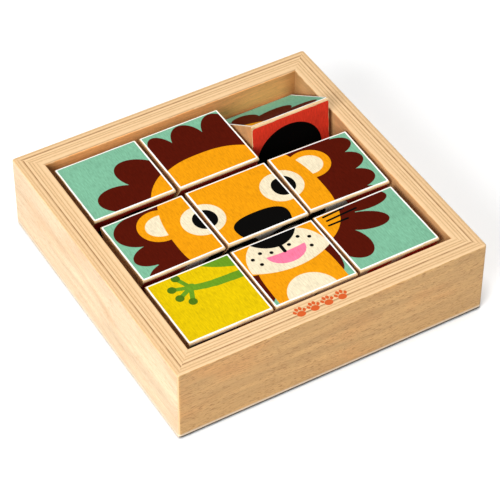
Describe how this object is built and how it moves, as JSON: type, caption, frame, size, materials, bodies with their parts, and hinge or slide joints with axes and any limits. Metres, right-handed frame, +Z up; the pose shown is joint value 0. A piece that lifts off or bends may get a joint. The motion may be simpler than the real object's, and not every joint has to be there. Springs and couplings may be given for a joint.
{
  "type": "turning picture block puzzle",
  "caption": "Square plywood tray of three-sided picture blocks on axles; each block turns on its own to bring one of three pictures to the top.",
  "frame": {"origin": "centre of the underside of the base panel", "axes": "+Z up; +X to the right along the front rail and along the axles; +Y to the back rail"},
  "size_m": [0.2, 0.2, 0.0623],
  "materials": {
    "plywood": "clear satin lacquer over beech plywood, with the plies showing on the top edges",
    "thin_plywood": "bare thin plywood",
    "dowel": "bare beech dowel",
    "printed_block": "beech with one printed picture tile on each of three faces and bare ends"
  },
  "bodies": {
    "tray": {"rail_front": "plywood", "rail_right": "plywood", "rail_back": "plywood", "rail_left": "plywood", "base_panel": "thin_plywood", "axle_back_row": "dowel", "axle_middle_row": "dowel", "axle_front_row": "dowel"},
    "block_r1_c1": {"block_r1_c1": "printed_block"},
    "block_r1_c2": {"block_r1_c2": "printed_block"},
    "block_r1_c3": {"block_r1_c3": "printed_block"},
    "block_r2_c1": {"block_r2_c1": "printed_block"},
    "block_r2_c2": {"block_r2_c2": "printed_block"},
    "block_r2_c3": {"block_r2_c3": "printed_block"},
    "block_r3_c1": {"block_r3_c1": "printed_block"},
    "block_r3_c2": {"block_r3_c2": "printed_block"},
    "block_r3_c3": {"block_r3_c3": "printed_block"}
  },
  "joints": [
    {"name": "turn_r1_c1", "type": "hinge", "parent": "tray", "child": "block_r1_c1", "pos_m": [-0.0552, 0.0553, 0.0337], "axis": [1, 0, 0], "continuous": true},
    {"name": "turn_r1_c2", "type": "hinge", "parent": "tray", "child": "block_r1_c2", "pos_m": [0.0005, 0.0549, 0.0337], "axis": [1, 0, 0], "continuous": true},
    {"name": "turn_r1_c3", "type": "hinge", "parent": "tray", "child": "block_r1_c3", "pos_m": [0.0555, 0.0548, 0.0357], "axis": [1, 0, 0], "continuous": true},
    {"name": "turn_r2_c1", "type": "hinge", "parent": "tray", "child": "block_r2_c1", "pos_m": [-0.0542, -0.0005, 0.0337], "axis": [1, 0.0087, 0], "continuous": true},
    {"name": "turn_r2_c2", "type": "hinge", "parent": "tray", "child": "block_r2_c2", "pos_m": [0.0011, 0, 0.0337], "axis": [1, 0, 0], "continuous": true},
    {"name": "turn_r2_c3", "type": "hinge", "parent": "tray", "child": "block_r2_c3", "pos_m": [0.0564, 0.0002, 0.0337], "axis": [0.9997, -0.0227, 0], "continuous": true},
    {"name": "turn_r3_c1", "type": "hinge", "parent": "tray", "child": "block_r3_c1", "pos_m": [-0.0554, -0.0554, 0.0337], "axis": [1, 0, 0], "continuous": true},
    {"name": "turn_r3_c2", "type": "hinge", "parent": "tray", "child": "block_r3_c2", "pos_m": [-0.0006, -0.0554, 0.0337], "axis": [1, -0.0035, 0], "continuous": true},
    {"name": "turn_r3_c3", "type": "hinge", "parent": "tray", "child": "block_r3_c3", "pos_m": [0.0543, -0.0547, 0.0337], "axis": [1, 0.0052, 0], "continuous": true}
  ]
}
